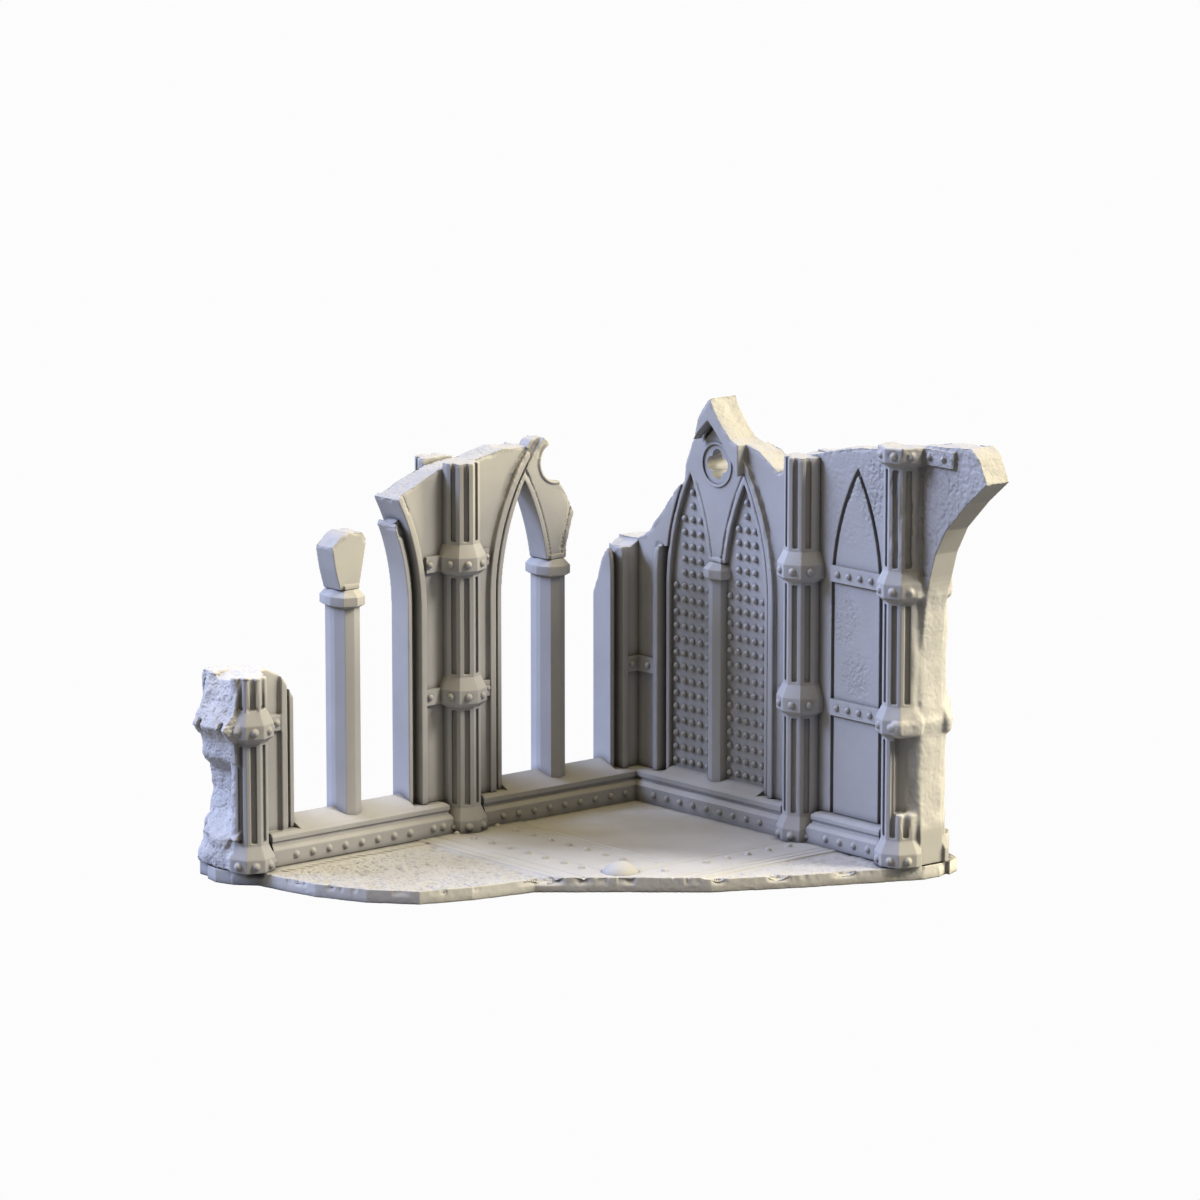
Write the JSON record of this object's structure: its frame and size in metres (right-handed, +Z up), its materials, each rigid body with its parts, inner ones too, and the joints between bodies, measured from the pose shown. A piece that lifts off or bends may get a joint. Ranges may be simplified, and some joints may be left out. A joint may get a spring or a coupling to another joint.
{
  "type": "miniature terrain ruin",
  "caption": "Corner of a ruined gothic hall for tabletop gaming: two broken arched walls with riveted fluted half-columns, open and blind windows and a cracked floor slab.",
  "frame": {"origin": "middle of the footprint's bounding rectangle, on the table plane under the floor slab", "axes": "+X towards the blind wall, along the wall with the two open windows; +Y out through the open-window wall; +Z up"},
  "size_m": [0.1718, 0.1628, 0.1266],
  "materials": {
    "wall_resin": "matte cast resin with fine grain",
    "floor_resin": "matte cast resin, rough stone texture"
  },
  "bodies": {
    "root": {"belt_l1_1_inner": "wall_resin", "belt_l2_1_inner": "wall_resin", "belt_l2_2_inner": "wall_resin", "belt_r1_1_inner": "wall_resin", "belt_r1_2_inner": "wall_resin", "belt_r2_1_inner": "wall_resin", "belt_r2_2_inner": "wall_resin", "belt_r2_3_inner": "wall_resin", "belts_l1_outer": "wall_resin", "belts_l2_outer": "wall_resin", "belts_r1_outer": "wall_resin", "belts_r2_outer": "wall_resin", "capital_a": "wall_resin", "capital_b": "wall_resin", "capital_c": "wall_resin", "column_l1_inner": "wall_resin", "column_l1_outer": "wall_resin", "column_l2_inner": "wall_resin", "column_l2_outer": "wall_resin", "column_r1_inner": "wall_resin", "column_r1_outer": "wall_resin", "column_r2_inner": "wall_resin", "column_r2_outer": "wall_resin", "corner_pier": "wall_resin", "corner_post": "wall_resin", "corner_strap": "wall_resin", "end_pier": "wall_resin", "end_stub": "wall_resin", "eye_rings_c": "wall_resin", "floor_boss": "floor_resin", "floor_slab": "floor_resin", "floor_strip_left": "floor_resin", "floor_strip_right": "floor_resin", "gable_crown": "wall_resin", "jamb_a_left": "wall_resin", "jamb_a_right": "wall_resin", "jamb_b_right": "wall_resin", "mullion_a": "wall_resin", "mullion_b": "wall_resin", "mullion_c": "wall_resin", "pier_between_windows": "wall_resin", "plinth_bay_a": "wall_resin", "plinth_bay_b": "wall_resin", "plinth_bay_c": "wall_resin", "plinth_bay_d": "wall_resin", "quatrefoil_c": "wall_resin", "sill_a": "wall_resin", "sill_b": "wall_resin", "sill_c": "wall_resin", "springer_a": "wall_resin", "strap_d_lower": "wall_resin", "strap_d_upper": "wall_resin", "stud_panel_c_far": "wall_resin", "stud_panel_c_near": "wall_resin", "tracery_b": "wall_resin", "tracery_c": "wall_resin", "wall_c_far": "wall_resin", "wall_c_near": "wall_resin", "wall_d": "wall_resin"}
  },
  "joints": []
}
